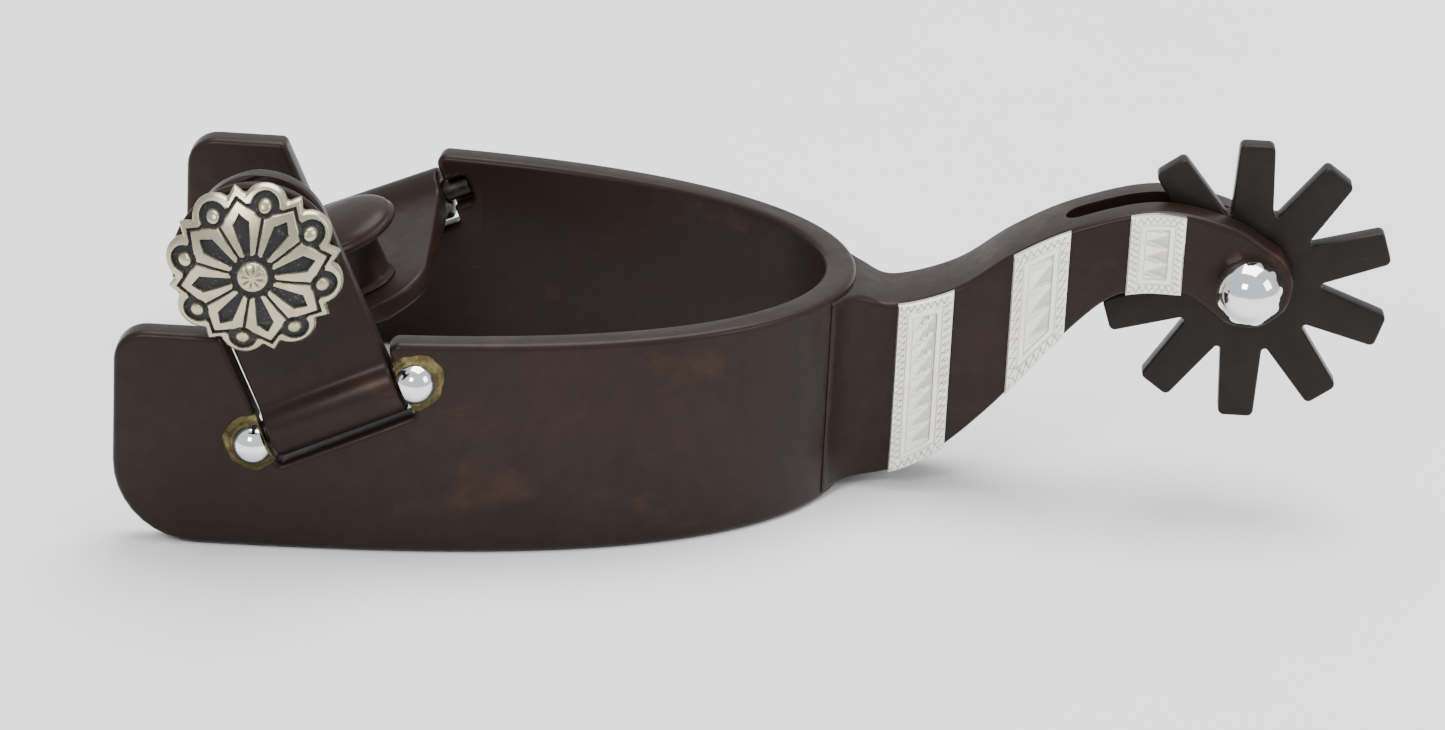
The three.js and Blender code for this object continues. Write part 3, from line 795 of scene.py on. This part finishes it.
def hinge_hardware(label, side):
    """Pin, balls and brazing of one hinge, all fixed to the band."""
    matrix = hinge_frame(side)
    end = POCKET_END - 0.2
    bm = turned([(HINGE_PIN_RADIUS, -end), (HINGE_PIN_RADIUS, end)], 40)
    place(bm, matrix @ Matrix.Rotation(math.pi / 2, 4, "Y"))
    add_piece(f"{label}_hinge_rod", finish_mesh(f"{label}_hinge_rod", bm), "pin_steel", "spur_body",
              [f"{label}_hinge_pin"], 40)
    for where, way in (("front", side), ("rear", -side)):
        middle = Vector((way * BALL_ALONG_PIN, 0, 0))
        ball = turned(arc(BALL_RADIUS, BALL_OUT, -38, 90, 22), 64)
        bmesh.ops.translate(ball, verts=ball.verts, vec=middle)
        trim_at_notch(ball, way, 0.1)
        place(ball, matrix)
        name = f"{label}_{where}_bead"
        add_piece(name, finish_mesh(name, ball), "chrome", "spur_body", [f"{label}_{where}_ball"], 50)
        braze = turned(braze_profile(), 72, lumpy)
        bmesh.ops.translate(braze, verts=braze.verts, vec=middle)
        trim_at_notch(braze, way, 0.0)
        place(braze, matrix)
        name = f"{label}_{where}_fillet"
        add_piece(name, finish_mesh(name, braze), "brass_braze", "spur_body", [f"{label}_{where}_braze"], 60)


def braze_profile():
    surface = BAND_THICKNESS / 2
    return [(0, 0.3), (4.1, 0.3), (4.25, surface - 0.1), (4.05, surface + 0.12), (3.6, surface + 0.34),
            (3.25, surface + 0.75), (3.0, surface + 1.15), (0, surface + 1.15)]


def lumpy(angle, height):
    return (1 + 0.035 * math.sin(3 * angle + 0.7) + 0.02 * math.sin(7 * angle + height)
            + 0.012 * math.sin(13 * angle))


def trim_at_notch(bm, way, past):
    plane = Vector((way * (NOTCH_HALF + past), 0, 0))
    geometry = bm.verts[:] + bm.edges[:] + bm.faces[:]
    bmesh.ops.bisect_plane(bm, geom=geometry, dist=1e-5, plane_co=plane, plane_no=(-way, 0, 0),
                           clear_outer=True)
    rim = [edge for edge in bm.edges if edge.is_boundary]
    bmesh.ops.holes_fill(bm, edges=rim, sides=0)


# ---- concho --------------------------------------------------------------------------------

LOBES = 8
CONCHO_TURN = math.radians(13)
BEAD_PLACE, BEAD_RADIUS, BEAD_WELL, LOBE_RADIUS = 9.6, 0.92, 1.95, 3.15
RIM_RADIUS, TOOTH_RADIUS = 10.95, 12.15
CENTRE_RADIUS = 2.15
CONCHO_DOME_RADIUS = 12.35
PETAL_TIP, PETAL_VALLEY = 10.3, 8.1


def concho_outline(beta, delta):
    """Rim radius: a round lobe at every bead (beta = 0), a pointed tooth between (delta = 0)."""
    lobe_place = BEAD_PLACE - 0.4
    inside = LOBE_RADIUS ** 2 - (lobe_place * np.sin(beta)) ** 2
    lobe = lobe_place * np.cos(beta) + np.sqrt(np.maximum(inside, 0)) * (inside > 0)
    tooth = TOOTH_RADIUS - 12.5 * np.abs(delta)
    return np.maximum(np.maximum(lobe, tooth), RIM_RADIUS)


def segment_side(x, y, start, end):
    """Signed distance to the line from start to end, positive on its left."""
    dx, dy = end[0] - start[0], end[1] - start[1]
    return (dx * (y - start[1]) - dy * (x - start[0])) / math.hypot(dx, dy)


def concho_relief(r, beta, delta):
    """How silver each point is: 1 on raised silver, 0 in the black ground."""
    step = math.pi / LOBES
    bead_distance = np.hypot(r * np.cos(beta) - BEAD_PLACE, r * np.sin(beta))
    x, y = r * np.cos(delta), np.abs(r * np.sin(delta))
    tip = (PETAL_TIP, 0.0)
    valley = (PETAL_VALLEY * math.cos(step), PETAL_VALLEY * math.sin(step))
    petal = segment_side(x, y, tip, valley)
    tooth_inner = RIM_RADIUS - 9.5 * np.abs(delta)
    ground = np.maximum(9.75, tooth_inner)
    rim = np.minimum(r - ground, bead_distance - BEAD_WELL)
    flower = np.minimum(petal, bead_distance - (BEAD_WELL - 0.35))
    shoulder, nose, heel = (7.3, 1.15), (8.7, 0.0), (3.2, 0.42)
    window = np.minimum(segment_side(x, y, nose, shoulder), segment_side(x, y, shoulder, heel))
    window = np.minimum(window, x - heel[0])
    groove = 0.11 + 0.012 * r - np.abs(r * np.sin(beta))
    flower = np.minimum(np.minimum(flower, -window), -groove)
    flower = np.minimum(flower, r - 3.15 - 0.18 * np.cos(2 * LOBES * delta))
    bead = BEAD_RADIUS - bead_distance
    centre = CENTRE_RADIUS - r
    raised = np.maximum(np.maximum(rim, flower), np.maximum(bead, centre))
    return smooth_step(raised, -0.07, 0.07), bead, centre


def near_concho(frame_matrix, body):
    segments, rings = 576, 132
    angle = np.linspace(0, 2 * math.pi, segments, endpoint=False)[None, :]
    period = 2 * math.pi / LOBES
    beta = (angle + period / 2) % period - period / 2
    delta = angle % period - period / 2
    outline = concho_outline(beta, delta)
    t = np.linspace(0, 1, rings + 1)[:, None] ** 0.85
    r = t * outline
    beta, delta = np.broadcast_to(beta, r.shape), np.broadcast_to(delta, r.shape)
    raised, bead, centre = concho_relief(r, beta, delta)
    full = CONCHO_RISE * (1 - (r / CONCHO_DOME_RADIUS) ** 2)
    height = CONCHO_BACK + 0.75 + full + 0.5 * raised
    height += 0.5 * np.sqrt(np.clip(bead / BEAD_RADIUS, 0, 1) * (2 - np.clip(bead / BEAD_RADIUS, 0, 1)))
    dome = np.clip(centre / CENTRE_RADIUS, 0, 1)
    cuts = np.abs(np.cos(4 * angle)) ** 10 * smooth_step(r, 0.25, 0.9) * smooth_step(-r, -2.0, -1.3)
    height += 0.75 * np.sqrt(dome * (2 - dome)) - 0.22 * cuts * (centre > 0)
    height -= 0.35 * (1 - smooth_step(outline - r, 0.0, 0.4))
    dark = 1 - raised
    dark = np.maximum(dark, 0.35 * cuts * (centre > 0))
    wall_r = np.stack([outline[0], outline[0] - 0.15, outline[0] - 1.2])
    wall_h = np.stack([np.full(segments, CONCHO_BACK + 0.35), np.full(segments, CONCHO_BACK),
                       np.full(segments, CONCHO_BACK)])
    r = np.concatenate([r, wall_r])
    height = np.concatenate([height, wall_h])
    dark = np.concatenate([dark, np.zeros((3, segments))])
    turned_angle = angle + CONCHO_TURN + math.pi / 2
    points = np.stack([r * np.cos(turned_angle), r * np.sin(turned_angle) + BUTTON_REACH, height], axis=-1)
    mesh = grid_mesh("concho_relief", points, dark, closed_u=True)
    mesh.transform(Matrix.Scale(1 / MM, 4))
    mesh.transform(frame_matrix)
    mesh.transform(Matrix.Scale(MM, 4))
    add_piece("concho_ornament", mesh, "concho_silver", body, ["near_concho"], 60)


def hanger(label, side):
    body = f"{label}_hanger"
    matrix = hinge_frame(side, rest_lean(label, side))
    hinge_hardware(label, side)
    hanger_strap(label, side, matrix, body)
    button_post(label, matrix, body)
    if side < 0:
        button_disc(label, NEAR_DISC_RADIUS, NEAR_DISC_RISE, NEAR_DISC_RIM, matrix, body)
        near_concho(matrix, body)
    else:
        button_disc(label, FAR_DISC_RADIUS, FAR_DISC_RISE, FAR_DISC_RIM, matrix, body)


# ---- camera, floor and light -----------------------------------------------------------------

CAMERA_AIM = Vector((-16.6, 0, 15.0)) * MM
CAMERA_DISTANCE = 852 * MM
CAMERA_AZIMUTH, CAMERA_ELEVATION, CAMERA_ROLL = 0.023, 0.381, -0.052
CAMERA_LENS = 143.6


def camera():
    a, e, roll = CAMERA_AZIMUTH, CAMERA_ELEVATION, CAMERA_ROLL
    back = Vector((math.sin(a) * math.cos(e), -math.cos(a) * math.cos(e), math.sin(e)))
    right = Vector((math.cos(a), math.sin(a), 0))
    up = back.cross(right)
    image_right = right * math.cos(roll) - up * math.sin(roll)
    image_up = right * math.sin(roll) + up * math.cos(roll)
    data = bpy.data.cameras.new("camera")
    data.lens = CAMERA_LENS
    data.sensor_width = 36
    data.clip_start = 0.05
    item = bpy.data.objects.new("camera", data)
    matrix = Matrix((image_right, image_up, back)).transposed().to_4x4()
    matrix.translation = CAMERA_AIM + back * CAMERA_DISTANCE
    item.matrix_world = matrix
    bpy.context.scene.collection.objects.link(item)
    bpy.context.scene.camera = item


def area_light(name, place_at, aim, size, power, height=None):
    data = bpy.data.lights.new(name, "AREA")
    data.shape = "RECTANGLE"
    data.size = size
    data.size_y = height or size
    data.energy = power
    item = bpy.data.objects.new(name, data)
    item.location = place_at
    item.rotation_euler = (Vector(aim) - Vector(place_at)).to_track_quat("-Z", "Y").to_euler()
    bpy.context.scene.collection.objects.link(item)


def studio():
    mesh = bpy.data.meshes.new("floor")
    reach = 3.0
    corners = [(-reach, -reach, 0), (reach, -reach, 0), (reach, reach, 0), (-reach, reach, 0)]
    mesh.from_pydata(corners, [], [(0, 1, 2, 3)])
    mesh.materials.append(floor_material())
    floor = bpy.data.objects.new("floor", mesh)
    floor.location.z = cad_box[0][2] - 0.0002
    bpy.context.scene.collection.objects.link(floor)
    world = bpy.data.worlds.new("studio")
    world.use_nodes = True
    world.node_tree.nodes["Background"].inputs["Color"].default_value = (0.93, 0.96, 1.0, 1)
    world.node_tree.nodes["Background"].inputs["Strength"].default_value = 0.95
    bpy.context.scene.world = world
    area_light("top_box", (0.1, 0.25, 1.1), (0, 0, 0), 0.9, 18)
    area_light("front_box", (-0.35, -0.9, 0.75), (0, 0, 0.02), 0.35, 5)
    area_light("side_box", (1.0, -0.3, 0.6), (0, 0, 0.02), 0.5, 4)


camera()
studio()
heel_band()
shank()
for bar in ("root", "middle", "tip"):
    silver_bar(bar)
rowel()
rowel_pin()
hanger("near", -1)
hanger("far", 1)
